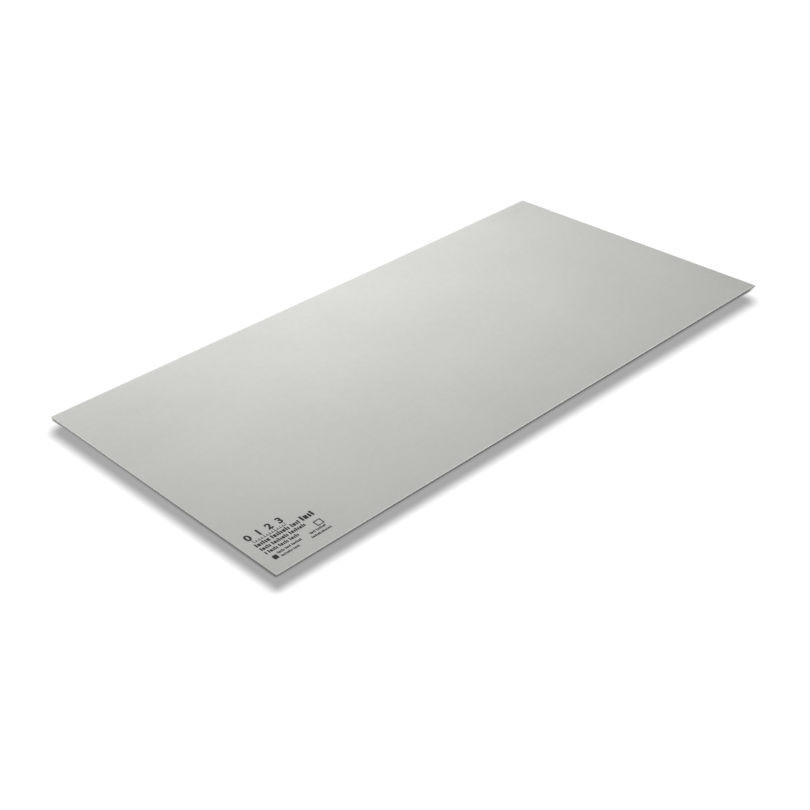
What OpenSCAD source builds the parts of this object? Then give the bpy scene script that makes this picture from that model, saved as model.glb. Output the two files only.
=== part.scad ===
// Fiber cement board: one flat pressed sheet with square-cut edges.
// Z = 0 is the back face, which lies on the floor or against the framing, and +Z looks out of
// the smooth front face. The sheet is centred on the origin, with its length along X.

/* [Sheet] */
// Length of the sheet, along X
board_length = 2400; // [600:50:3600]
// Width of the sheet, along Y
board_width = 1200; // [300:50:1500]
// Thickness of the sheet, along Z
board_thickness = 4; // [3.5:0.5:20]

/* [Edges] */
// Height and depth of the arris worn off the edges of the front face
front_arris = 0.3; // [0.1:0.05:1]
// Height and depth of the arris that the trimming blade leaves along the back face
back_arris = 0.2; // [0.1:0.05:1]
// How much of each edge is lost where a plan corner is blunted
corner_blunt = 0.8; // [0.2:0.1:5]

/* [Hidden] */
board_colour = [0.76, 0.765, 0.745];

// Outline of a rectangle that stands on y = 0, centred on x = 0, with its two lower and its two
// upper corners cut off at 45 degrees
function cut_rectangle(span, rise, lower_cut, upper_cut) = [
    [-span / 2 + lower_cut, 0],
    [span / 2 - lower_cut, 0],
    [span / 2, lower_cut],
    [span / 2, rise - upper_cut],
    [span / 2 - upper_cut, rise],
    [-span / 2 + upper_cut, rise],
    [-span / 2, rise - upper_cut],
    [-span / 2, lower_cut],
];

// Bar with the sheet's edge-to-edge section across X, and its length along Y
module section_bar(across, along) {
    rotate([90, 0, 0])
        linear_extrude(height = along, center = true)
            polygon(cut_rectangle(across, board_thickness, back_arris, front_arris));
}

// The sheet seen from above, through its full thickness, with blunted corners
module plan_prism() {
    linear_extrude(height = board_thickness)
        translate([0, -board_width / 2])
            polygon(cut_rectangle(board_length, board_width, corner_blunt, corner_blunt));
}

// The sheet is what its lengthwise section, its crosswise section and its plan have in common
module board() {
    color(board_colour)
        intersection() {
            section_bar(board_length, board_width);
            rotate([0, 0, 90]) section_bar(board_width, board_length);
            plan_prism();
        }
}

board();
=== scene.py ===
"""Looks of one flat fibre cement sheet, lying on a studio floor.

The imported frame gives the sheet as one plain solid. This script models the sheet again with its
pressed plies, worn arrises and printed marks, dresses every face of it, and sets out the floor, the
lights and the camera. Lengths are in metres and angles in degrees, unless a name says otherwise.
"""

import logging
import math
from dataclasses import dataclass
from enum import Enum
from functools import cached_property, partial, reduce
from typing import ClassVar

import bmesh
import bpy
from mathutils import Matrix, Quaternion, Vector, noise


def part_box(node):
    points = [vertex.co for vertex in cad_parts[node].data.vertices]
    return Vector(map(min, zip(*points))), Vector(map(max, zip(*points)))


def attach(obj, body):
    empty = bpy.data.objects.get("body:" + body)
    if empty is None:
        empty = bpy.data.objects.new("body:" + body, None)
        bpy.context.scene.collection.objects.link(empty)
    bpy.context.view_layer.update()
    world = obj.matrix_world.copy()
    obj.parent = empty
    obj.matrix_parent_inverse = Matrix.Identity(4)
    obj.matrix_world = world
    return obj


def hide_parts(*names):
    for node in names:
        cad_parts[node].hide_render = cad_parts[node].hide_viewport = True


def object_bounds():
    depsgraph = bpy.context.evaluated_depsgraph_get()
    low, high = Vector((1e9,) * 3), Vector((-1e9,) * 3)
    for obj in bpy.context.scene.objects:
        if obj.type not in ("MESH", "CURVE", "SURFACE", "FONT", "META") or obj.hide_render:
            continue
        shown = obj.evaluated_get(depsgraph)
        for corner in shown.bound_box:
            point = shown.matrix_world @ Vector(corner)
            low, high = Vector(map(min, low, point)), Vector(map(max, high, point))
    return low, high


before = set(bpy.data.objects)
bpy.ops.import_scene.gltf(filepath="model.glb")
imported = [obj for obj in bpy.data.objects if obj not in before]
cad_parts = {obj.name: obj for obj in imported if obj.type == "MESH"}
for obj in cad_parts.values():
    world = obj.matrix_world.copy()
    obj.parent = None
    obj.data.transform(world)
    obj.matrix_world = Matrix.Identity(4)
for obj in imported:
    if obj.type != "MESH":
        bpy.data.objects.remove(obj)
CAD_LOW, CAD_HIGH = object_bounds()

LOG = logging.getLogger("fibre_cement_sheet")
MM = 0.001
TINY = 0.001 * MM
WHITE = (1.0, 1.0, 1.0)

Pair = tuple[float, float]
Triple = tuple[float, float, float]
Colour = Triple
Shades = tuple[Colour, Colour]
Levels = dict[bmesh.types.BMVert, int]


# ---- Patterns ----


@dataclass(frozen=True)
class Grain:
    """A soft random pattern, and what it adds to a finish's tone, roughness and relief where it is 1.

    It has this many features to a metre, all ways or along each axis. A mask of it rises over its
    band, and its shift is how far it moves a line from one side to the other.
    """

    per_metre: float | Triple
    detail: float = 2.0
    rough: float = 0.5
    tone: float = 0.0
    dull: float = 0.0
    relief: float = 0.0
    band: Pair = (0.0, 1.0)
    shift: float = 0.0


@dataclass(frozen=True)
class Scatter:
    """Scattered dots. The radius is a share of a cell, and only a share of the cells holds a dot."""

    cells_per_metre: float
    radius: float
    share: float
    FLAT_PART: ClassVar[float] = 0.4
    LOT_EDGE: ClassVar[float] = 0.02


@dataclass(frozen=True)
class Marks:
    """How marks show on a finish: their colour, how fully it covers, and what they add to the relief."""

    colour: Colour
    cover: float
    relief: float = 0.0


def around(colour: Colour, spread: float) -> Shades:
    """Gives a darker and a lighter shade of a colour, both this share away from it."""
    deep, light = (tuple(part * (1.0 + side * spread) for part in colour) for side in (-1, 1))
    return deep, light


# ---- Shader maths ----


class Value:
    """One output socket, so that shader maths reads as a Python expression."""

    def __init__(self, kit: "NodeKit", socket: bpy.types.NodeSocket) -> None:
        self.kit = kit
        self.socket = socket

    def out(self, name: str) -> "Value":
        """Gives another output of the same node, by name."""
        return Value(self.kit, self.socket.node.outputs[name])

    def __add__(self, other: "Value | float") -> "Value":
        """Adds."""
        return self.kit.math("ADD", self, other)

    def __sub__(self, other: "Value | float") -> "Value":
        """Subtracts."""
        return self.kit.math("SUBTRACT", self, other)

    def __rsub__(self, other: float) -> "Value":
        """Subtracts this from a number."""
        return self.kit.math("SUBTRACT", other, self)

    def __mul__(self, other: "Value | float") -> "Value":
        """Multiplies."""
        return self.kit.math("MULTIPLY", self, other)

    def __truediv__(self, other: "Value | float") -> "Value":
        """Divides."""
        return self.kit.math("DIVIDE", self, other)

    def __abs__(self) -> "Value":
        """Drops the sign."""
        return self.kit.math("ABSOLUTE", self)

    __radd__ = __add__
    __rmul__ = __mul__


Input = Value | float | tuple
Place = tuple[Value, Value]


class NodeKit:
    """Builds one node tree."""

    def __init__(self, tree: bpy.types.NodeTree) -> None:
        """Takes a tree and empties it."""
        self.tree = tree
        self.tree.nodes.clear()

    @cached_property
    def own(self) -> Value:
        """The object's own coordinates, in metres."""
        return self.add("TexCoord", output="Object")

    def add(
        self,
        kind: str,
        settings: dict | None = None,
        sockets: dict | None = None,
        output: int | str = 0,
    ) -> Value:
        """Adds a node of any kind.

        Args:
            kind: The node's type without its prefix, such as "TexNoise".
            settings: The node's own properties. They are set first.
            sockets: Values or links of its inputs, by index, identifier or name.
            output: The output to return, by index or name.

        Returns:
            The chosen output, or a wrapper of None on a node without outputs.
        """
        node = self.tree.nodes.new("ShaderNode" + kind)
        for name, setting in (settings or {}).items():
            setattr(node, name, setting)
        for key, given in (sockets or {}).items():
            self.feed(self.find_input(node, key), given)
        return Value(self, node.outputs[output] if len(node.outputs) else None)

    @staticmethod
    def find_input(node: bpy.types.Node, key: int | str) -> bpy.types.NodeSocket:
        """Finds an input of a node.

        Args:
            node: The node.
            key: The input's index, identifier or name.

        Returns:
            The input.
        """
        if isinstance(key, int):
            return node.inputs[key]
        same = [socket for socket in node.inputs if socket.identifier == key]
        return same[0] if same else node.inputs[key]

    def feed(self, socket: bpy.types.NodeSocket, given: Input) -> None:
        """Links or sets one input. A colour of three numbers gets an alpha of 1.

        Args:
            socket: The input.
            given: What it gets: another node's output, or a plain value.
        """
        if isinstance(given, Value):
            self.tree.links.new(given.socket, socket)
        elif isinstance(given, tuple) and socket.type == "RGBA":
            socket.default_value = (*given, 1.0)
        else:
            socket.default_value = given

    def math(self, operation: str, *terms: Value | float) -> Value:
        """Adds a Math node with these terms."""
        return self.add("Math", {"operation": operation}, dict(enumerate(terms)))

    def most(self, *values: Value | float) -> Value:
        """Gives the largest of several values."""
        return reduce(partial(self.math, "MAXIMUM"), values)

    def parts(self, vector: Value) -> tuple[Value, Value, Value]:
        """Splits a vector into its X, Y and Z."""
        along = self.add("SeparateXYZ", {}, {"Vector": vector})
        return along, along.out("Y"), along.out("Z")

    def position(self, turn: float = 0.0, stretch: Triple | None = None) -> Value:
        """Gives the object's own coordinates, turned or stretched.

        Args:
            turn: How far the pattern is turned about Z, in degrees.
            stretch: Scale of the coordinates along each axis, after the turn.

        Returns:
            A vector.
        """
        where = self.own
        if turn:
            where = self.add("Mapping", {}, {"Vector": where, "Rotation": (0.0, 0.0, math.radians(turn))})
        if stretch:
            where = self.add("VectorMath", {"operation": "MULTIPLY"}, {0: where, 1: stretch})
        return where

    def noise(self, grain: Grain) -> Value:
        """Gives a soft random pattern around 0.5.

        Args:
            grain: How coarse, fine and rough it is.

        Returns:
            The pattern.
        """
        by_axis = isinstance(grain.per_metre, tuple)
        sockets = {
            "Vector": self.position(stretch=grain.per_metre) if by_axis else self.own,
            "Scale": 1.0 if by_axis else grain.per_metre,
            "Detail": grain.detail,
            "Roughness": grain.rough,
        }
        return self.add("TexNoise", {"noise_dimensions": "3D"}, sockets)

    def mask(self, grain: Grain) -> Value:
        """Gives patches: 1 where a soft pattern is past its band, and 0 where it is short of it."""
        return self.step(self.noise(grain), *grain.band)

    def sway(self, grain: Grain) -> Value:
        """Gives a soft random shift around 0."""
        return (self.noise(grain) - 0.5) * grain.shift

    def step(self, value: Value, start: float, end: float) -> Value:
        """Rises smoothly from 0 to 1.

        Args:
            value: What the step is taken of.
            start: The value where the result is 0.
            end: The value where the result is 1. It may be the lower one.

        Returns:
            The step.
        """
        settings = {"interpolation_type": "SMOOTHSTEP"}
        if start < end:
            return self.add("MapRange", settings, {"Value": value, "From Min": start, "From Max": end})
        sockets = {"Value": value, "From Min": end, "From Max": start, "To Min": 1.0, "To Max": 0.0}
        return self.add("MapRange", settings, sockets)

    def dots(self, scatter: Scatter, where: Value) -> Value:
        """Lays scattered dots.

        Args:
            scatter: How close, how large and how many they are.
            where: The vector that they are laid on.

        Returns:
            1 in a dot's middle and 0 outside the dots.
        """
        sockets = {"Vector": where, "Scale": scatter.cells_per_metre}
        found = self.add("TexVoronoi", {"voronoi_dimensions": "2D"}, sockets)
        lot = self.add("SeparateColor", {}, {"Color": found.out("Color")}, "Red")
        inside = self.step(found, scatter.radius, scatter.radius * Scatter.FLAT_PART)
        return inside * self.step(lot, scatter.share, scatter.share - Scatter.LOT_EDGE)

    def blend(self, first: Value | Colour, second: Value | Colour, factor: Value | float) -> Value:
        """Mixes two colours."""
        sockets = {"Factor_Float": factor, "A_Color": first, "B_Color": second}
        return self.add("Mix", {"data_type": "RGBA"}, sockets, 2)

    def scaled(self, colour: Colour, factor: Value) -> Value:
        """Makes a colour brighter or darker by a factor that varies over the surface."""
        return self.add("VectorMath", {"operation": "SCALE"}, {0: colour, "Scale": factor})

    def surface(self, shader: Value, into: str = "OutputMaterial") -> None:
        """Ends the tree with its output node."""
        self.add(into, {}, {"Surface": shader})


def new_material(name: str) -> tuple[bpy.types.Material, NodeKit]:
    """Makes a named material.

    Args:
        name: The material's name.
    """
    material = bpy.data.materials.new(name)
    material.use_nodes = True
    return material, NodeKit(material.node_tree)


@dataclass
class Skin:
    """One opaque material under way, to which patterns and marks are added in turn."""

    name: str
    roughness: Value | float
    tone: Value | float = 0.0
    relief: Value | float = 0.0
    colour: Value | None = None

    def __post_init__(self) -> None:
        """Starts the material."""
        self.material, self.kit = new_material(self.name)

    def add(self, pattern: Value, tone: float = 0.0, dull: float = 0.0, relief: float = 0.0) -> None:
        """Lets a pattern from 0 to 1 show.

        Args:
            pattern: The pattern.
            tone: What it adds to the tone where it is 1.
            dull: What it adds to the roughness there.
            relief: What it adds to the height there.
        """
        if tone:
            self.tone += tone * pattern
        if dull:
            self.roughness += dull * pattern
        if relief:
            self.relief += relief * pattern

    def grow(self, *grains: Grain) -> list[Value]:
        """Adds soft patterns.

        Args:
            grains: The patterns, each with its own shares.

        Returns:
            The patterns' values, in the same order.
        """
        grown = [self.kit.noise(grain) for grain in grains]
        for grain, pattern in zip(grains, grown):
            self.add(pattern, grain.tone, grain.dull, grain.relief)
        return grown

    def tint(self, shades: Shades, band: Pair) -> None:
        """Colours the material from the first shade to the second, as its tone rises over the band."""
        self.colour = self.kit.blend(*shades, self.kit.step(self.tone, *band))

    def lay(self, marks: Marks, mask: Value) -> None:
        """Lays marks over what is there, fully where the mask is 1."""
        self.colour = self.kit.blend(self.colour, marks.colour, marks.cover * mask)
        self.add(mask, relief=marks.relief)

    def done(self, specular: float, depth: float) -> bpy.types.Material:
        """Ends the material's nodes.

        Args:
            specular: How strongly it mirrors, where 0.5 is an ordinary dielectric.
            depth: How deep a relief from 0 to 1 is.

        Returns:
            The finished material.
        """
        sockets = {
            "Base Color": self.colour,
            "Roughness": self.roughness,
            "Specular IOR Level": specular,
            "Normal": self.kit.add("Bump", {}, {"Height": self.relief, "Distance": depth}),
        }
        self.kit.surface(self.kit.add("BsdfPrincipled", {}, sockets))
        return self.material


# ---- Finishes ----
#
# A finish is pressed cement or ink in two shades, with marks over it. Of each kind of marks, the
# name in the singular says how one looks, and the name in the plural says where they are.


@dataclass(frozen=True)
class FrontFaceFinish:
    """The smooth pressed face: pale cement with faint clouds, cut fibres, pinholes and a rubbed rim that is
    partly a painted highlight.
    """

    half_length: float
    half_width: float
    shades: Shades = around((0.565, 0.570, 0.540), 0.28)
    tone_band: Pair = (0.0, 1.0)
    clouds: Grain = Grain(2.6, 3.0, tone=0.16)
    mottle: Grain = Grain(38.0, 4.0, 0.6, tone=0.12, dull=0.12)
    freckle: Grain = Grain(210.0, 3.0, 0.6, tone=0.14, relief=0.15)
    rolled: Grain = Grain((1.5, 160.0, 1.0), 4.0, 0.65, tone=0.10, dull=0.12)
    sand: Grain = Grain(1900.0, 4.0, 0.7, tone=0.48, relief=0.35)
    speck: Marks = Marks((0.330, 0.332, 0.318), 0.35)
    specks: Scatter = Scatter(230.0, 0.11, 0.40)
    pale_fibre: Marks = Marks((0.720, 0.700, 0.630), 0.55, relief=0.10)
    dark_fibre: Marks = Marks((0.400, 0.385, 0.340), 0.40, relief=-0.10)
    # Each lay of fibres is its turn in degrees, and the share of the cells that hold a fibre.
    fibre_lays: tuple[Pair, ...] = ((8.0, 0.34), (-19.0, 0.30), (64.0, 0.16), (121.0, 0.18))
    fibre_cells: float = 430.0
    fibre_radius: float = 0.085
    fibre_narrowness: float = 0.09
    dark_fibre_turn: float = 31.0
    dark_fibre_cells: float = 93.0
    # The pits' dark colour is painted shade inside the pinholes.
    pit: Marks = Marks((0.180, 0.180, 0.170), 0.80, relief=-0.45)
    pits: tuple[Scatter, ...] = (
        Scatter(150.0, 0.030, 0.40),
        Scatter(61.0, 0.022, 0.35),
        Scatter(17.0, 0.0105, 0.25),
    )
    # Pale colour of the rim: partly rubbed dust, partly a painted highlight along the arris.
    rubbed: Marks = Marks((0.790, 0.795, 0.780), 1.0)
    rubbed_least: float = 0.36
    rubbed_by_sand: float = 0.78
    rubbed_dull: float = 0.25
    end_rim: float = 3.5 * MM
    side_rim: float = 8.0 * MM
    whole_rim: float = 0.3
    # Both move the rim's inner side, by these shares of its width.
    ragged: Grain = Grain(120.0, 4.0, 0.6, shift=1.2)
    frayed: Grain = Grain(900.0, 3.0, 0.6, shift=1.1)
    roughness: float = 0.45
    specular: float = 0.35
    relief_depth: float = 0.08 * MM

    def material(self) -> bpy.types.Material:
        """Makes the material.

        Returns:
            The finished material.
        """
        skin = Skin("smooth_cement_face", self.roughness)
        kit = skin.kit
        *_, sand = skin.grow(self.clouds, self.mottle, self.freckle, self.rolled, self.sand)
        skin.tint(self.shades, self.tone_band)
        skin.lay(self.speck, kit.dots(self.specks, kit.own))
        skin.lay(self.pale_fibre, self.fibres(kit))
        skin.lay(self.dark_fibre, self.fibres(kit, self.dark_fibre_turn, self.dark_fibre_cells))
        skin.lay(self.pit, kit.most(*(kit.dots(pits, kit.own) for pits in self.pits)))
        # The rim is painted paler, partly as rubbed dust and partly as a highlight along the arris.
        rim = self.rim(kit)
        skin.add(rim, dull=self.rubbed_dull)
        skin.lay(self.rubbed, rim * (self.rubbed_least + self.rubbed_by_sand * sand))
        return skin.done(self.specular, self.relief_depth)

    def fibres(self, kit: NodeKit, turned: float = 0.0, more_cells: float = 0.0) -> Value:
        """Scatters short cut fibres that lie flat, most of them near the machine's direction.

        Args:
            kit: The material's kit.
            turned: How far all the lays are turned, in degrees.
            more_cells: How many more cells to a metre they have.

        Returns:
            1 on a fibre's middle.
        """
        lays = []
        for turn, share in self.fibre_lays:
            scatter = Scatter(self.fibre_cells + turn + more_cells, self.fibre_radius, share)
            where = kit.position(turn + turned, (self.fibre_narrowness, 1.0, 1.0))
            lays.append(kit.dots(scatter, where))
        return kit.most(*lays)

    def rim(self, kit: NodeKit) -> Value:
        """Gives a band of dust and painted highlight along the arris, wider on the long sides, with a ragged
        inner side.

        Args:
            kit: The material's kit.

        Returns:
            1 at the arris and 0 inside the band.
        """
        along, across, _ = kit.parts(kit.own)
        from_end = (self.half_length - abs(along)) / self.end_rim
        from_side = (self.half_width - abs(across)) / self.side_rim
        inside = kit.math("MINIMUM", from_end, from_side)
        return kit.step(inside + kit.sway(self.ragged) + kit.sway(self.frayed), 1.0, self.whole_rim)


@dataclass(frozen=True)
class CutEdgeFinish:
    """The trimmed edge: open cement in plies, with torn fibres and pale dust on its arrises."""

    thickness: float
    plies: int
    shades: Shades = around((0.565, 0.563, 0.535), 0.34)
    tone_band: Pair = (0.25, 0.75)
    streaks: Grain = Grain((60.0, 60.0, 4200.0), 4.0, 0.65, tone=0.26, relief=0.20)
    scored: Grain = Grain((1500.0, 1500.0, 110.0), 3.0, 0.6, tone=0.20, relief=0.15)
    grit: Grain = Grain(2300.0, 3.0, 0.7, tone=0.30, dull=0.12, relief=0.25)
    blotches: Grain = Grain(14.0, 4.0, 0.6, tone=0.24)
    seam: Marks = Marks((0.210, 0.207, 0.193), 0.85, relief=-0.3)
    seam_band: Pair = (0.60, 0.98)
    # The seams wander by these shares of a ply, and are seen only where they are open.
    wander: Grain = Grain(26.0, 4.0, 0.6, shift=1.6)
    jitter: Grain = Grain(400.0, shift=0.5)
    open_seams: Grain = Grain((34.0, 34.0, 1500.0), 3.0, 0.6, band=(0.40, 0.62))
    torn_fibre: Marks = Marks((0.650, 0.630, 0.550), 0.70, relief=0.2)
    torn_fibres: Grain = Grain((420.0, 420.0, 6500.0), band=(0.60, 0.70))
    # The voids' dark colour is painted shade inside small holes of the cut edge.
    void: Marks = Marks((0.130, 0.128, 0.120), 0.85, relief=-0.3)
    voids: Grain = Grain((700.0, 700.0, 2600.0), band=(0.68, 0.74))
    dust: Marks = Marks((0.680, 0.683, 0.665), 0.75)
    dust_height: float = 0.45 * MM
    # The breaks move the dust's inner side, by this share of its height.
    dust_breaks: Grain = Grain(95.0, 4.0, 0.6, shift=2.0)
    roughness: float = 0.80
    specular: float = 0.25
    relief_depth: float = 0.12 * MM

    def material(self) -> bpy.types.Material:
        """Makes the material.

        Returns:
            The finished material.
        """
        skin = Skin("cut_cement_edge", self.roughness)
        kit = skin.kit
        height = kit.parts(kit.own)[2]
        skin.grow(self.streaks, self.scored, self.grit, self.blotches)
        skin.tint(self.shades, self.tone_band)
        skin.lay(self.seam, self.seams(height))
        skin.lay(self.torn_fibre, kit.mask(self.torn_fibres))
        skin.lay(self.void, kit.mask(self.voids))
        skin.lay(self.dust, self.dusty(height))
        return skin.done(self.specular, self.relief_depth)

    def seams(self, height: Value) -> Value:
        """Draws the lines between the plies, which wander, thin out and stop for a while.

        Args:
            height: The height over the back face.

        Returns:
            1 on a line.
        """
        kit = height.kit
        plies_up = height * (self.plies / self.thickness) + kit.sway(self.wander) + kit.sway(self.jitter)
        off_middle = abs(kit.math("FRACT", plies_up) - 0.5) * 2.0
        return kit.step(off_middle, *self.seam_band) * kit.mask(self.open_seams)

    def dusty(self, height: Value) -> Value:
        """Gives the powdered bands along both arrises, broken up along the edge.

        Args:
            height: The height over the back face.

        Returns:
            1 at an arris and 0 away from it.
        """
        reach = 0.5 * self.thickness
        off_middle = abs(height - reach) + height.kit.sway(self.dust_breaks) * self.dust_height
        return height.kit.step(off_middle, reach - self.dust_height, reach)


@dataclass(frozen=True)
class BackFaceFinish:
    """The unpolished back: open cement with the felt's weave, drag lines and damp marks in it."""

    shades: Shades = around((0.470, 0.468, 0.438), 0.22)
    tone_band: Pair = (0.1, 0.9)
    mottle: Grain = Grain(30.0, 5.0, 0.65, tone=0.30, dull=0.14)
    grit: Grain = Grain(1400.0, 3.0, 0.75, tone=0.30, relief=0.30)
    drag: Grain = Grain((2.0, 210.0, 1.0), 4.0, 0.6, tone=0.20, relief=0.15)
    weave_tone: float = 0.20
    weave_relief: float = 0.35
    weave_pitch: float = 1.6 * MM
    weave_turn: float = 11.0
    # The bend moves the threads, by this share of their pitch.
    weave_bend: Grain = Grain(60.0, shift=0.8)
    stain: Marks = Marks((0.372, 0.368, 0.340), 0.55)
    stains: Grain = Grain(1.9, 5.0, 0.6, band=(0.50, 0.68))
    strand: Marks = Marks((0.600, 0.575, 0.490), 0.50, relief=0.2)
    strands: Scatter = Scatter(520.0, 0.09, 0.40)
    strand_turn: float = 35.0
    strand_narrowness: float = 0.12
    roughness: float = 0.77
    specular: float = 0.25
    relief_depth: float = 0.16 * MM

    def material(self) -> bpy.types.Material:
        """Makes the material.

        Returns:
            The finished material.
        """
        skin = Skin("felt_marked_back", self.roughness)
        kit = skin.kit
        skin.grow(self.mottle, self.grit, self.drag)
        skin.add(self.weave(kit), self.weave_tone, relief=self.weave_relief)
        skin.tint(self.shades, self.tone_band)
        skin.lay(self.stain, kit.mask(self.stains))
        laid = kit.position(self.strand_turn, (self.strand_narrowness, 1.0, 1.0))
        skin.lay(self.strand, kit.dots(self.strands, laid))
        return skin.done(self.specular, self.relief_depth)

    def weave(self, kit: NodeKit) -> Value:
        """Gives the marks of the felt's crossing threads.

        Args:
            kit: The material's kit.

        Returns:
            A height from 0 to 1.
        """
        per_metre = 2.0 * math.pi / self.weave_pitch
        bent = kit.sway(self.weave_bend) * self.weave_pitch
        along, across, _ = kit.parts(kit.position(self.weave_turn))
        warp, weft = (kit.math("SINE", (place + bent) * per_metre) for place in (along, across))
        return 0.5 + 0.5 * (warp * weft)


@dataclass(frozen=True)
class InkFinish:
    """Roller-printed ink, thin where the cement's grain lifted the roller."""

    shades: Shades = ((0.010, 0.0105, 0.012), (0.062, 0.063, 0.062))
    tone_band: Pair = (0.44, 0.70)
    lifted: Grain = Grain(900.0, 3.0, 0.7, tone=0.6, dull=0.2, relief=1.0)
    patches: Grain = Grain(70.0, 3.0, 0.6, tone=0.4)
    bare_spot: Marks = Marks((0.480, 0.483, 0.460), 0.80)
    bare_spots: Scatter = Scatter(620.0, 0.14, 0.16)
    roughness: float = 0.60
    specular: float = 0.20
    relief_depth: float = 0.03 * MM

    def material(self) -> bpy.types.Material:
        """Makes the material.

        Returns:
            The finished material.
        """
        skin = Skin("printed_ink", self.roughness)
        skin.grow(self.lifted, self.patches)
        skin.tint(self.shades, self.tone_band)
        skin.lay(self.bare_spot, skin.kit.dots(self.bare_spots, skin.kit.own))
        return skin.done(self.specular, self.relief_depth)


# ---- Meshes ----


def put_in_order(bm: bmesh.types.BMesh) -> None:
    """Numbers a mesh by place, because the operators' own order changes from run to run.

    Args:
        bm: The finished mesh.
    """
    for number, vert in enumerate(sorted(bm.verts, key=lambda vert: vert.co[:])):
        vert.index = number
    bm.verts.sort()
    corners = {face: sorted(vert.index for vert in face.verts) for face in bm.faces}
    for number, face in enumerate(sorted(bm.faces, key=corners.get)):
        face.index = number
    bm.faces.sort()


def finish_piece(bm: bmesh.types.BMesh, name: str, materials: list[bpy.types.Material]) -> bpy.types.Object:
    """Turns a bmesh into a linked object at the origin.

    Args:
        bm: The mesh in the frame's own coordinates. It is freed.
        name: The piece's name.
        materials: Its materials, in the order of the faces' indices.

    Returns:
        The new object.
    """
    put_in_order(bm)
    mesh = bpy.data.meshes.new(name)
    bm.to_mesh(mesh)
    bm.free()
    for material in materials:
        mesh.materials.append(material)
    piece = bpy.data.objects.new(name, mesh)
    bpy.context.scene.collection.objects.link(piece)
    return piece


def raise_copy(bm: bmesh.types.BMesh, height: float) -> None:
    """Turns a flat mesh into a closed slab, by raising a copy of it and walling its outline.

    Args:
        bm: The flat mesh. It becomes the slab's underside.
        height: How high the slab is.
    """
    flat = bm.verts[:] + bm.edges[:] + bm.faces[:]
    raised = bmesh.ops.extrude_face_region(bm, geom=flat, use_keep_orig=True)["geom"]
    lifted = [item for item in raised if isinstance(item, bmesh.types.BMVert)]
    bmesh.ops.translate(bm, verts=lifted, vec=(0.0, 0.0, height))


def blunt(bm: bmesh.types.BMesh, corners: list[bmesh.types.BMVert], reach: float, steps: int) -> None:
    """Rounds the corners of a flat mesh.

    Args:
        bm: The flat mesh.
        corners: Its corner vertices.
        reach: How far from a corner its round starts.
        steps: How many straight pieces make up a round.
    """
    bmesh.ops.bevel(
        bm,
        geom=corners,
        offset=reach,
        offset_type="OFFSET",
        segments=steps,
        profile=0.5,
        affect="VERTICES",
        material=-1,
    )


def uneven(place: Vector, per_metre: float, seed: float) -> float:
    """Gives a smooth random number from 0 to 1 for a place in plan. The seed picks the pattern."""
    return 0.5 + 0.5 * noise.noise(Vector((place.x * per_metre, place.y * per_metre, seed)))


class Zone(Enum):
    """The parts of the sheet's skin. Each value is a material index."""

    FRONT = 0
    EDGE = 1
    BACK = 2


@dataclass(frozen=True)
class Patch:
    """A rectangle of the sheet's bake map, in shares of the map."""

    left: float
    bottom: float
    width: float
    height: float

    def place(self, along: float, across: float) -> Pair:
        """Gives the map's point at these shares of the patch."""
        return (self.left + self.width * along, self.bottom + self.height * across)


class BakeSide(Enum):
    """The sides that the skin is laid out in: both faces, and a strip for each of the four edges."""

    FRONT = Patch(0.004, 0.500, 0.992, 0.496)
    BACK = Patch(0.004, 0.118, 0.992, 0.374)
    NEAR = Patch(0.004, 0.082, 0.992, 0.028)
    FAR = Patch(0.004, 0.046, 0.992, 0.028)
    LEFT = Patch(0.004, 0.008, 0.490, 0.028)
    RIGHT = Patch(0.506, 0.008, 0.490, 0.028)


@dataclass(frozen=True)
class ChipPattern:
    """Where an arris has chipped, and how deep. Most of it is whole."""

    depth: float = 7.0 * MM
    lumps_per_metre: float = 75.0
    lump_rarity: float = 0.50
    nibbles_per_metre: float = 190.0
    nibble_rarity: float = 0.42
    nibble_share: float = 0.35
    seed_step: float = 3.0

    def at(self, place: Vector, seed: float) -> float:
        """Gives the chip's depth at a place.

        Args:
            place: The place in plan.
            seed: Picks the pattern.

        Returns:
            How far the cement has gone there, and 0 where the arris is whole.
        """
        lump = 2.0 * uneven(place, self.lumps_per_metre, seed) - 1.0
        nibble = 2.0 * uneven(place, self.nibbles_per_metre, seed + self.seed_step) - 1.0
        small = self.nibble_share * max(0.0, nibble - self.nibble_rarity)
        return self.depth * (max(0.0, lump - self.lump_rarity) + small)


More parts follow.
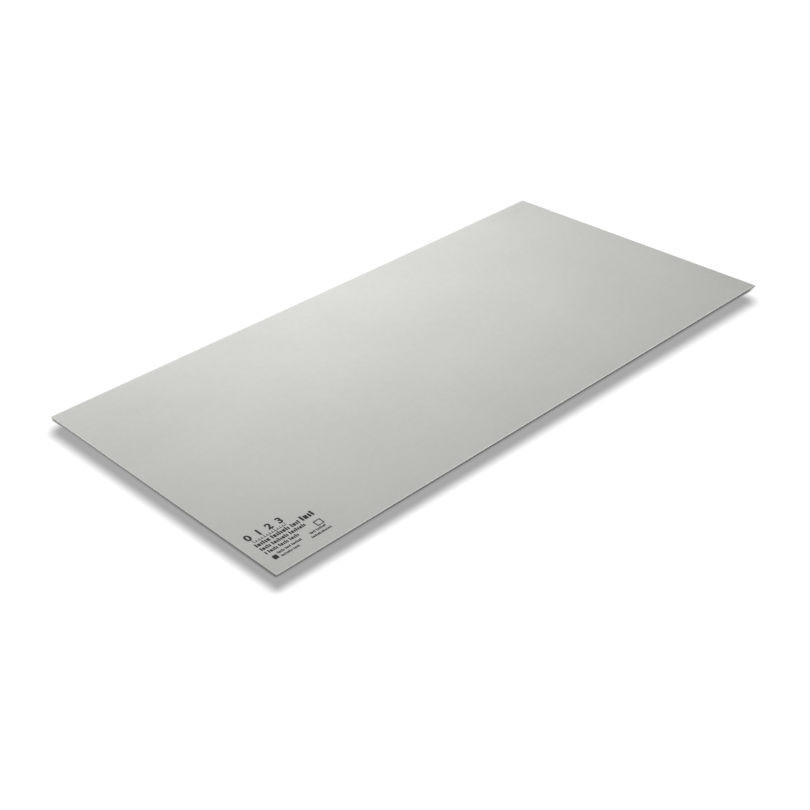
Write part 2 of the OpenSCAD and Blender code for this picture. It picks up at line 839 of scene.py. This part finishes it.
@dataclass
class CementSheet:
    """The sheet itself: two faces and a trimmed edge of pressed plies, worn at its arrises."""

    low: Vector
    high: Vector
    skin_under: float = 0.07 * MM
    cells_long: int = 96
    cells_wide: int = 48
    rim_cuts: int = 5
    corner_blunt: float = 1.5 * MM
    corner_steps: int = 4
    plies: int = 10
    seam_depth: float = 0.035 * MM
    front_arris: float = 0.3 * MM
    back_arris: float = 0.2 * MM
    cut_waviness: float = 0.10 * MM
    waves_per_metre: float = 9.0
    wave_seed: float = 2.0
    wave_share: float = 0.55
    tears_per_metre: float = 260.0
    tear_layers: float = 2600.0
    arris_least: float = 0.55
    arris_spread: float = 0.9
    chips: ChipPattern = ChipPattern()
    front_chip_seed: float = 11.0
    back_chip_seed: float = 47.0
    chip_reach: float = 1.3 * MM
    chip_slope: float = 0.45
    corner_wear: float = 0.35 * MM
    corner_wear_reach: float = 14.0 * MM
    wear_all_heights: float = 0.5
    wear_at_back: float = 0.5
    # Within the guarded reach of a corner, nothing is worn deeper than this share of its blunting.
    guarded_reach: float = 3.0 * MM
    deepest_share: float = 0.8
    face_relief: float = 0.02 * MM
    face_waves_per_metre: float = 4.0
    face_seed: float = 5.0

    @property
    def top(self) -> float:
        """The height of the bare face, a little under the ink's."""
        return self.high.z - self.skin_under

    @property
    def thickness(self) -> float:
        """The height of the bare face over the back."""
        return self.top - self.low.z

    def section(self) -> list[Pair]:
        """Draws the edge's section.

        Returns:
            Points from the back face to the front, each a height over the back and how far it lies
            inside the edge's outermost line.
        """
        points = [(0.0, self.back_arris), (self.back_arris, 0.0)]
        ply = (self.thickness - self.back_arris - self.front_arris) / self.plies
        for number in range(self.plies):
            start = self.back_arris + number * ply
            points.append((start + 0.5 * ply, 0.0))
            if number < self.plies - 1:
                points.append((start + ply, self.seam_depth))
        points.append((self.thickness - self.front_arris, 0.0))
        points.append((self.thickness, self.front_arris))
        return points

    def build(self) -> bpy.types.Object:
        """Models and dresses the sheet.

        Returns:
            The finished piece.
        """
        bm = bmesh.new()
        self.lay_grid(bm)
        levels = self.raise_edge(bm)
        self.shape_edge(levels)
        self.relieve_faces(levels)
        bmesh.ops.recalc_face_normals(bm, faces=bm.faces[:])
        self.sort_zones(bm, levels)
        self.lay_out_bake(bm, levels)
        finishes = {
            Zone.FRONT: FrontFaceFinish(self.high.x, self.high.y),
            Zone.EDGE: CutEdgeFinish(self.thickness, self.plies),
            Zone.BACK: BackFaceFinish(),
        }
        return finish_piece(bm, "cement_sheet", [finishes[zone].material() for zone in Zone])

    def lay_grid(self, bm: bmesh.types.BMesh) -> None:
        """Lays the back face as a grid, with a finely cut rim and blunted corners.

        Args:
            bm: The empty mesh that gets it.
        """
        spread = Matrix.Diagonal((self.high.x, self.high.y, 1.0, 1.0))
        bmesh.ops.create_grid(
            bm,
            x_segments=self.cells_long,
            y_segments=self.cells_wide,
            size=1.0,
            matrix=Matrix.Translation((0.0, 0.0, self.low.z)) @ spread,
        )
        rim = [edge for edge in bm.edges if edge.is_boundary]
        bmesh.ops.subdivide_edges(bm, edges=rim, cuts=self.rim_cuts)
        corners = [vert for vert in bm.verts if len(vert.link_faces) == 1 and self.to_corner(vert.co) < TINY]
        blunt(bm, corners, self.corner_blunt, self.corner_steps)

    def raise_edge(self, bm: bmesh.types.BMesh) -> Levels:
        """Raises the grid into a slab, and cuts its edge into the section's rings.

        Args:
            bm: The mesh of the back face.

        Returns:
            Each vertex's place in the section, counted from the back face.
        """
        raise_copy(bm, self.thickness)
        walls = [edge for edge in bm.edges if abs(edge.verts[0].co.z - edge.verts[1].co.z) > TINY]
        last = len(self.section()) - 1
        bmesh.ops.subdivide_edges(bm, edges=walls, cuts=last - 1, use_grid_fill=True)
        return {vert: round((vert.co.z - self.low.z) / self.thickness * last) for vert in bm.verts}

    def to_corner(self, place: Vector) -> float:
        """Gives the distance in plan to the nearest corner of the sheet."""
        return math.hypot(self.high.x - abs(place.x), self.high.y - abs(place.y))

    def outward(self, place: Vector) -> Vector | None:
        """Gives the direction out of the edge.

        Args:
            place: A point of the mesh before it was shaped.

        Returns:
            A level unit vector, or None for a point that isn't on the edge.
        """
        over_x = abs(place.x) - (self.high.x - self.corner_blunt)
        over_y = abs(place.y) - (self.high.y - self.corner_blunt)
        if max(over_x, over_y) < self.corner_blunt - TINY and min(over_x, over_y) < -TINY:
            return None
        lean = Vector((max(over_x, 0.0) if over_x > -TINY else 0.0, max(over_y, 0.0), 0.0)).normalized()
        return Vector((math.copysign(lean.x, place.x), math.copysign(lean.y, place.y), 0.0))

    def shape_edge(self, levels: Levels) -> None:
        """Moves the edge's rings onto the section, and further in for rough cuts, chips and wear.

        Args:
            levels: Each vertex's place in the section.
        """
        section = self.section()
        for vert, level in levels.items():
            out = self.outward(vert.co)
            if out is None:
                continue
            height, inset = section[level]
            flat = Vector((vert.co.x, vert.co.y, 0.0))
            wander = uneven(flat, self.waves_per_metre, self.wave_seed)
            torn = uneven(flat, self.tears_per_metre, height * self.tear_layers)
            inset *= self.arris_least + self.arris_spread * torn
            inset += self.cut_waviness * (self.wave_share * wander + (1.0 - self.wave_share) * torn)

            near_top = max(0.0, 1.0 - (self.thickness - height) / self.chip_reach)
            near_back = max(0.0, 1.0 - height / self.chip_reach)
            chip = near_top * self.chips.at(flat, self.front_chip_seed)
            chip += near_back * self.chips.at(flat, self.back_chip_seed)
            wear = self.corner_wear * max(0.0, 1.0 - self.to_corner(flat) / self.corner_wear_reach) ** 2
            inset += chip + wear * (self.wear_all_heights + near_top + self.wear_at_back * near_back)
            if self.to_corner(flat) < self.guarded_reach:
                inset = min(inset, self.deepest_share * self.corner_blunt)
            height += self.chip_slope * chip * ((near_back > 0.0) - (near_top > 0.0))
            vert.co = flat - out * inset + Vector((0.0, 0.0, self.low.z + height))

    def relieve_faces(self, levels: Levels) -> None:
        """Lowers the front face by the faint waves that the press leaves.

        Args:
            levels: Each vertex's place in the section.
        """
        last = max(levels.values())
        for vert in [vert for vert, level in levels.items() if level == last]:
            vert.co.z -= self.face_relief * uneven(vert.co, self.face_waves_per_metre, self.face_seed)

    @staticmethod
    def sort_zones(bm: bmesh.types.BMesh, levels: Levels) -> None:
        """Gives every face its material and smooth shading, with a sharp line round each big face.

        Args:
            bm: The sheet's mesh.
            levels: Each vertex's place in the section.
        """
        last = max(levels.values())
        whole_faces = {frozenset({0}): Zone.BACK, frozenset({last}): Zone.FRONT}
        for face in bm.faces:
            on_levels = frozenset(levels[vert] for vert in face.verts)
            face.material_index = whole_faces.get(on_levels, Zone.EDGE).value
            face.smooth = True
        for edge in bm.edges:
            edge.smooth = len({face.material_index for face in edge.link_faces}) == 1

    def lay_out_bake(self, bm: bmesh.types.BMesh, levels: Levels) -> None:
        """Lays the skin out flat: each big face as it is, and the edge as four strips drawn out in height.

        Args:
            bm: The sheet's mesh, with its zones.
            levels: Each vertex's place in the section.
        """
        layer = bm.loops.layers.uv.new("OFBake")
        last = max(levels.values())
        for face in bm.faces:
            side = self.side_of(face)
            for loop in face.loops:
                place = loop.vert.co
                along = 0.5 + 0.5 * place.x / self.high.x
                across = 0.5 + 0.5 * place.y / self.high.y
                if side in (BakeSide.LEFT, BakeSide.RIGHT):
                    along = across
                if face.material_index == Zone.EDGE.value:
                    across = levels[loop.vert] / last
                loop[layer].uv = side.value.place(along, across)

    @staticmethod
    def side_of(face: bmesh.types.BMFace) -> BakeSide:
        """Finds the side that a face belongs to.

        Args:
            face: A face of the sheet, with its zone.

        Returns:
            The side that it is laid out on.
        """
        if face.material_index != Zone.EDGE.value:
            return BakeSide.FRONT if face.material_index == Zone.FRONT.value else BakeSide.BACK
        if abs(face.normal.x) > abs(face.normal.y):
            return BakeSide.RIGHT if face.normal.x > 0.0 else BakeSide.LEFT
        return BakeSide.FAR if face.normal.y > 0.0 else BakeSide.NEAR


@dataclass(frozen=True)
class Flat:
    """A rectangle on the face, square to the sheet, measured from the print block's own corner."""

    left: float
    base: float
    width: float
    height: float


@dataclass(frozen=True)
class MarkRow:
    """One row of plain upright strokes in runs, where some strokes are tall and some are bold."""

    base: float
    height: float
    start: float
    runs: tuple[int, ...]
    STROKE: ClassVar[float] = 0.30
    GAP: ClassVar[float] = 0.13
    LOW: ClassVar[float] = 0.76
    BOLD: ClassVar[float] = 1.7
    TALL_EVERY: ClassVar[int] = 3
    BOLD_EVERY: ClassVar[int] = 4

    def strokes(self) -> list[Flat]:
        """Lays out the row.

        Returns:
            Its strokes, from left to right, with a wider gap after each run.
        """
        laid = []
        left = self.start
        for count in self.runs:
            for number in range(count):
                height = self.height * (1.0 if number % self.TALL_EVERY == 0 else self.LOW)
                bold = number % self.BOLD_EVERY == 1
                width = self.height * self.STROKE * (self.BOLD if bold else 1.0)
                laid.append(Flat(left, self.base, width, height))
                left += width + self.height * self.GAP
            left += self.height * self.STROKE
        return laid


@dataclass(frozen=True)
class NumberedScale:
    """A short plain scale: a base line, a tick at every step and a number over each long tick."""

    start: float = 8.0 * MM
    base: float = 112.0 * MM
    step: float = 10.0 * MM
    steps: int = 12
    steps_to_number: int = 4
    line: float = 2.2 * MM
    short_tick: float = 8.0 * MM
    long_tick: float = 14.0 * MM
    clear_of_tick: float = 0.2 * MM
    number_size: float = 40.0 * MM
    number_gap: float = 3.0 * MM
    number_boldness: float = 0.040
    curve_steps: int = 6

    def lines(self) -> list[Flat]:
        """Lays out the ticks and the base line under them.

        Returns:
            The flat bars.
        """
        bars = []
        for number in range(self.steps + 1):
            tick = self.short_tick if number % self.steps_to_number else self.long_tick
            bars.append(Flat(self.start + number * self.step, self.base, self.line, tick))
        under = self.base - self.line - self.clear_of_tick
        bars.append(Flat(self.start + 0.5 * self.line, under, self.steps * self.step, self.line))
        return bars

    def number_places(self) -> list[tuple[str, Vector]]:
        """Lays out the numbers.

        Returns:
            Each number, and the middle of its foot from the print block's own corner.
        """
        foot = self.base + self.long_tick + self.number_gap
        numbers = range(self.steps // self.steps_to_number + 1)
        apart = self.step * self.steps_to_number
        return [(str(number), Vector((self.start + number * apart, foot, 0.0))) for number in numbers]


@dataclass
class PrintBlock:
    """Plain printed marks near one corner: a short scale with numbers, rows of strokes and two boxes."""

    low: Vector
    high: Vector
    from_end: float = 40.0 * MM
    from_side: float = 50.0 * MM
    sunk: float = 0.15 * MM
    ragged: float = 0.22 * MM
    ragged_per_metre: float = 600.0
    ragged_seeds: Pair = (3.0, 8.0)
    weld: float = 0.01 * MM
    outline_step: float = 3.0 * MM
    most_steps: int = 24
    end_round: float = 0.14
    end_steps: int = 2
    scale: NumberedScale = NumberedScale()
    rows: tuple[MarkRow, ...] = (
        MarkRow(87.0 * MM, 18.0 * MM, 0.0, (6, 8, 4)),
        MarkRow(87.0 * MM, 26.0 * MM, 176.0 * MM, (4,)),
        MarkRow(64.0 * MM, 16.0 * MM, 0.0, (5, 8, 8)),
        MarkRow(42.0 * MM, 15.0 * MM, 0.0, (1, 5, 5, 5)),
        MarkRow(21.0 * MM, 11.0 * MM, 26.0 * MM, (5, 4, 7)),
        MarkRow(3.0 * MM, 10.0 * MM, 26.0 * MM, (9, 5)),
        MarkRow(21.0 * MM, 11.0 * MM, 150.0 * MM, (4, 7)),
        MarkRow(3.0 * MM, 10.0 * MM, 142.0 * MM, (16,)),
    )
    filled_box: Flat = Flat(2.0 * MM, 6.0 * MM, 17.0 * MM, 20.0 * MM)
    open_box: Flat = Flat(191.0 * MM, 36.0 * MM, 27.0 * MM, 27.0 * MM)
    open_box_line: float = 5.5 * MM

    def corner(self) -> Vector:
        """Gives the block's own corner, at the height where the ink starts."""
        return Vector((self.low.x + self.from_end, self.low.y + self.from_side, self.high.z - self.sunk))

    def build(self) -> list[bpy.types.Object]:
        """Models and dresses all the marks.

        Returns:
            The finished pieces.
        """
        ink = InkFinish().material()
        jobs = {
            "print_scale": self.draw_scale,
            "print_numbers": self.draw_numbers,
            "print_rows": self.draw_rows,
            "print_boxes": self.draw_boxes,
        }
        pieces = []
        for name, draw in jobs.items():
            bm = bmesh.new()
            draw(bm)
            self.thicken(bm)
            pieces.append(finish_piece(bm, name, [ink]))
        return pieces

    def plate(self, bm: bmesh.types.BMesh, flat: Flat, cuts: tuple[int, int]) -> list[bmesh.types.BMVert]:
        """Lays one square-cornered plate.

        Args:
            bm: The mesh that gets it.
            flat: Its outline.
            cuts: How many faces it has each way.

        Returns:
            The plate's vertices.
        """
        middle = Vector((flat.left + 0.5 * flat.width, flat.base + 0.5 * flat.height, 0.0))
        size = Matrix.Diagonal((0.5 * flat.width, 0.5 * flat.height, 1.0, 1.0))
        place = Matrix.Translation(self.corner() + middle) @ size
        made = bmesh.ops.create_grid(bm, x_segments=cuts[0], y_segments=cuts[1], size=1.0, matrix=place)
        return made["verts"]

    def bar(self, bm: bmesh.types.BMesh, flat: Flat) -> None:
        """Lays one bar with lightly rounded corners.

        Args:
            bm: The mesh that gets it.
            flat: Its outline.
        """
        long_way = round(max(flat.width, flat.height) / self.outline_step)
        long_way = max(1, min(self.most_steps, long_way))
        cuts = (long_way, 1) if flat.width > flat.height else (1, long_way)
        corners = [vert for vert in self.plate(bm, flat, cuts) if len(vert.link_faces) == 1]
        blunt(bm, corners, self.end_round * min(flat.width, flat.height), self.end_steps)

    def draw_scale(self, bm: bmesh.types.BMesh) -> None:
        """Draws the scale's ticks and its base line."""
        for line in self.scale.lines():
            self.bar(bm, line)

    def draw_numbers(self, bm: bmesh.types.BMesh) -> None:
        """Sets the scale's numbers in plain bold figures.

        Args:
            bm: The mesh that gets them.
        """
        for number, foot in self.scale.number_places():
            text = bpy.data.curves.new("scale_number", "FONT")
            text.body = number
            text.size = self.scale.number_size
            text.offset = self.scale.number_boldness * self.scale.number_size
            text.resolution_u = self.scale.curve_steps
            text.align_x = "CENTER"
            holder = bpy.data.objects.new("scale_number", text)
            bpy.context.scene.collection.objects.link(holder)
            outline = bpy.data.meshes.new_from_object(
                holder.evaluated_get(bpy.context.evaluated_depsgraph_get())
            )
            outline.transform(Matrix.Translation(self.corner() + foot))
            while outline.uv_layers:
                outline.uv_layers.remove(outline.uv_layers[0])
            bm.from_mesh(outline)
            bpy.data.objects.remove(holder)
            bpy.data.curves.remove(text)
            bpy.data.meshes.remove(outline)
        bmesh.ops.remove_doubles(bm, verts=bm.verts[:], dist=self.weld)

    def draw_rows(self, bm: bmesh.types.BMesh) -> None:
        """Draws the rows of strokes."""
        for stroke in [stroke for row in self.rows for stroke in row.strokes()]:
            self.bar(bm, stroke)

    def draw_boxes(self, bm: bmesh.types.BMesh) -> None:
        """Draws a small filled box before the lower rows, and an open box at the block's right.

        Args:
            bm: The mesh that gets them.
        """
        self.bar(bm, self.filled_box)
        middle = self.plate(bm, self.open_box, (1, 1))[0].link_faces[:]
        bmesh.ops.inset_region(bm, faces=middle, thickness=self.open_box_line, use_boundary=True)
        bmesh.ops.delete(bm, geom=middle, context="FACES")

    def thicken(self, bm: bmesh.types.BMesh) -> None:
        """Roughens the flat marks' outlines and raises them into thin closed solids of ink.

        Args:
            bm: The mesh of the flat marks.
        """
        for vert in bm.verts:
            pull = [2.0 * uneven(vert.co, self.ragged_per_metre, seed) - 1.0 for seed in self.ragged_seeds]
            vert.co += Vector((*pull, 0.0)) * self.ragged
        raise_copy(bm, self.sunk)
        bmesh.ops.recalc_face_normals(bm, faces=bm.faces[:])
        for face in bm.faces:
            face.smooth = False


# ---- Studio ----


@dataclass(frozen=True)
class SoftLamp:
    """One rectangular lamp, and how strongly it lights the floor."""

    name: str
    place: Triple
    facing: Triple
    size: Pair
    power: float

    def build(self) -> None:
        """Hangs the lamp."""
        lamp = bpy.data.lights.new(self.name, "AREA")
        lamp.shape = "RECTANGLE"
        lamp.size, lamp.size_y = self.size
        lamp.energy = self.power
        holder = bpy.data.objects.new(self.name, lamp)
        holder.location = self.place
        holder.rotation_mode = "QUATERNION"
        holder.rotation_quaternion = Vector(self.facing).to_track_quat("-Z", "Y")
        bpy.context.scene.collection.objects.link(holder)

    def on_floor(self, place: Place) -> Value:
        """Works out its light on the floor, where 1 shows a colour as written.

        Args:
            place: The floor's X and Y.

        Returns:
            The light's level, as from a small lamp.
        """
        off_x, off_y = place[0] - self.place[0], place[1] - self.place[1]
        drop = self.place[2]
        aim = Vector(self.facing).normalized()
        reach = off_x * off_x + off_y * off_y + drop * drop
        ahead = off_x.kit.most(aim.x * off_x + aim.y * off_y - aim.z * drop, 0.0)
        return (self.power * drop / math.pi**2) * ahead / (reach * reach)


@dataclass(frozen=True)
class StudioLights:
    """A soft lamp over the sheet's far side, a weak low one at its far left, and an even sky."""

    sky: float = 0.400
    high: SoftLamp = SoftLamp("high_lamp", (0.180, 1.190, 2.33), (0.0, 0.0, -1.0), (1.0, 1.0), 53.2)
    low: SoftLamp = SoftLamp("low_lamp", (-2.60, 1.20, 0.12), (1.0, -0.55, 0.0), (1.0, 0.2), 11.0)

    def build(self) -> None:
        """Hangs the lamps and sets the sky, which is white where the camera sees it."""
        self.high.build()
        self.low.build()
        world = bpy.data.worlds.new("studio_sky")
        world.use_nodes = True
        bpy.context.scene.world = world
        kit = NodeKit(world.node_tree)
        seen = seen_directly(kit)
        sockets = {"Color": WHITE, "Strength": self.sky + (1.0 - self.sky) * seen}
        kit.surface(kit.add("Background", {}, sockets), "OutputWorld")


def seen_directly(kit: NodeKit) -> Value:
    """Tells which rays show the background itself.


    Returns:
        1 for a ray from the camera, a mirror or glass, and 0 for one that only carries light.
    """
    path = kit.add("LightPath", output="Is Camera Ray")
    return kit.most(path, path.out("Is Glossy Ray"), path.out("Is Transmission Ray"))


@dataclass
class StudioFloor:
    """A pale level floor that shows white, with a soft shadow of the sheet and a line at its foot painted
    into its colour.
    """

    lights: StudioLights
    sheet_half: Pair
    half_size: float = 60.0
    under: float = 0.05 * MM
    pale: float = 0.90
    white: float = 1.04
    # The painted shadow: its colour, outline, skew, rounding and blur.
    shade_tint: Colour = (0.395, 0.393, 0.398)
    shade_centre: Pair = (-0.0735, -0.0686)
    shade_half: Pair = (1.1800, 0.5976)
    shade_skew: Pair = (0.0100, 0.0086)
    # The shade's near corner is rounded less than its others, which start this far from it.
    near_round: float = 0.020
    shade_round: float = 0.055
    others_from: float = 0.25
    shade_blur: float = 0.0255
    blur_growth: float = 0.18
    # The thin painted shadow line at the foot of the sheet's left and near sides: how far out it reaches,
    # how it ends, and how much deeper its shade is at the two ends of each side.
    foot_aside: Pair = (-4.0 * MM, -7.0 * MM)
    foot_round: float = 14.0 * MM
    foot_blur: float = 6.0 * MM
    foot_fade: Pair = (60.0 * MM, 22.0 * MM)
    foot_left: Pair = (0.39, 0.02)
    foot_near: Pair = (0.06, 0.28)

    def build(self) -> bpy.types.Object:
        """Lays the floor.

        Returns:
            The floor.
        """
        bm = bmesh.new()
        level = Matrix.Translation((0.0, 0.0, -self.under))
        bmesh.ops.create_grid(bm, x_segments=1, y_segments=1, size=self.half_size, matrix=level)
        return finish_piece(bm, "studio_floor", [self.material()])

    def material(self) -> bpy.types.Material:
        """Makes the floor's material, which tops up the light from above until it shows white and has
        shadows painted in.

        Returns:
            The finished material.
        """
        material, kit = new_material("pale_floor")
        place = kit.parts(kit.own)[:2]
        from_above = self.lights.sky + self.lights.high.on_floor(place)
        light = from_above + self.lights.low.on_floor(place)
        # The foot line is a painted shadow at the foot of the sheet's left and near sides.
        foot, depth = self.foot(place)
        shade = kit.most(self.shade(place), foot)

        # The painted shadows' colour, deeper along the foot line, divided by the light on the floor so that
        # it shows evenly.
        shaded = kit.scaled(self.shade_tint, (1.0 - depth * foot) / light)
        missing = kit.most(self.white - from_above * self.pale, 0.0)
        sockets = {
            "Base Color": kit.blend((self.pale,) * 3, shaded, shade),
            "Roughness": 1.0,
            "Specular IOR Level": 0.0,
            "Emission Color": kit.scaled(WHITE, missing * (1.0 - shade) * seen_directly(kit)),
            "Emission Strength": 1.0,
        }
        kit.surface(kit.add("BsdfPrincipled", {}, sockets))
        return material

    def shade(self, place: Place) -> Value:
        """Draws the painted soft shadow, a rounded rectangle that is softer further from the near corner.

        Args:
            place: The floor's X and Y.

        Returns:
            1 well inside the shade and 0 outside it.
        """
        along, across = place
        kit = along.kit
        skew_x, skew_y = self.shade_skew
        skewed = (along + skew_x * across, across + skew_y * along)
        from_near = kit.most(along + across + (self.sheet_half[0] + self.sheet_half[1]), 0.0)
        away = kit.step(from_near, 0.0, self.others_from)
        rounding = self.near_round + (self.shade_round - self.near_round) * away
        outside = self.outside(skewed, self.shade_centre, self.shade_half, rounding)
        blur = self.shade_blur * (1.0 + self.blur_growth * from_near)
        return kit.step(outside / blur, 1.0, -1.0)

    def foot(self, place: Place) -> tuple[Value, Value]:
        """Draws the thin line of deeper painted shade at the foot of the left and near sides.

        Args:
            place: The floor's X and Y.

        Returns:
            The line, 1 at the foot of those sides and 0 away from them, and how much deeper it is.
        """
        along, across = place
        kit = along.kit
        half_x, half_y = self.sheet_half
        outside = self.outside(place, self.foot_aside, self.sheet_half, self.foot_round)
        right_end = kit.step(along, half_x, half_x - self.foot_fade[0])
        far_end = kit.step(across, half_y, half_y - self.foot_fade[1])
        line = kit.step(outside, self.foot_blur, 0.0) * right_end * far_end
        near_depth = self.evenly(along, half_x, self.foot_near)
        left_depth = self.evenly(across, half_y, self.foot_left)
        on_left = kit.step((across + half_y) - (along + half_x), -self.foot_blur, self.foot_blur)
        return line, near_depth + (left_depth - near_depth) * on_left

    @staticmethod
    def evenly(from_middle: Value, half: float, ends: Pair) -> Value:
        """Goes evenly from one value to another along a side.

        Args:
            from_middle: The place along the side, measured from its middle.
            half: Half of the side's length.
            ends: The values at its two ends.

        Returns:
            The value at the place.
        """
        start, end = ends
        return start + (end - start) * (0.5 + from_middle / (2.0 * half))

    @staticmethod
    def outside(place: Place, centre: Pair, half: Pair, rounding: Value | float) -> Value:
        """Gives the distance from a rounded rectangle's outline.

        Args:
            place: The floor's X and Y.
            centre: The rectangle's centre.
            half: Half of its length and of its width.
            rounding: The radius of its corners.

        Returns:
            Metres outside the outline, and negative inside it.
        """
        kit = place[0].kit
        over_x, over_y = (abs(place[side] - centre[side]) - (half[side] - rounding) for side in (0, 1))
        past_x, past_y = kit.most(over_x, 0.0), kit.most(over_y, 0.0)
        past = kit.math("SQRT", past_x * past_x + past_y * past_y)
        within = kit.math("MINIMUM", kit.most(over_x, over_y), 0.0)
        return past + within - rounding


@dataclass(frozen=True)
class Viewpoint:
    """Where the camera stands, and what it looks at."""

    target: Triple = (-0.3276, -0.2245, 0.004)
    azimuth: float = -43.108
    elevation: float = 32.621
    roll: float = -2.022
    distance: float = 4.4974
    lens_mm: float = 59.085
    sensor_mm: float = 36.0

    def build(self) -> None:
        """Sets up the scene's camera."""
        camera = bpy.data.cameras.new("camera")
        camera.lens = self.lens_mm
        camera.sensor_width = self.sensor_mm
        holder = bpy.data.objects.new("camera", camera)
        turn, rise = math.radians(self.azimuth), math.radians(self.elevation)
        level = math.cos(rise)
        back = Vector((math.sin(turn) * level, -math.cos(turn) * level, math.sin(rise)))
        holder.location = Vector(self.target) + back * self.distance
        holder.rotation_mode = "QUATERNION"
        upright = (-back).to_track_quat("-Z", "Y")
        holder.rotation_quaternion = upright @ Quaternion((0.0, 0.0, 1.0), math.radians(self.roll))
        bpy.context.scene.collection.objects.link(holder)
        bpy.context.scene.camera = holder


# ---- The whole ----


def report(piece: bpy.types.Object) -> None:
    """Logs a piece's name, faces and size."""
    size = " x ".join(f"{side / MM:.2f}" for side in piece.dimensions)
    LOG.info("%s: %d faces, %s mm", piece.name, len(piece.data.polygons), size)


def main() -> None:
    """Builds the view, the studio and every piece of the sheet."""
    logging.basicConfig(level=logging.INFO, format="%(message)s")
    bpy.context.scene.view_settings.view_transform = "Standard"
    Viewpoint().build()
    lights = StudioLights()
    lights.build()
    floor = StudioFloor(lights, (CAD_HIGH.x, CAD_HIGH.y)).build()

    sheet = CementSheet(*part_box("board")).build()
    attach(sheet, "root")
    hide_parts("board")
    report(sheet)

    for mark in PrintBlock(*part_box("board")).build():
        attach(mark, "root")
        report(mark)


if __name__ == "__main__":
    main()
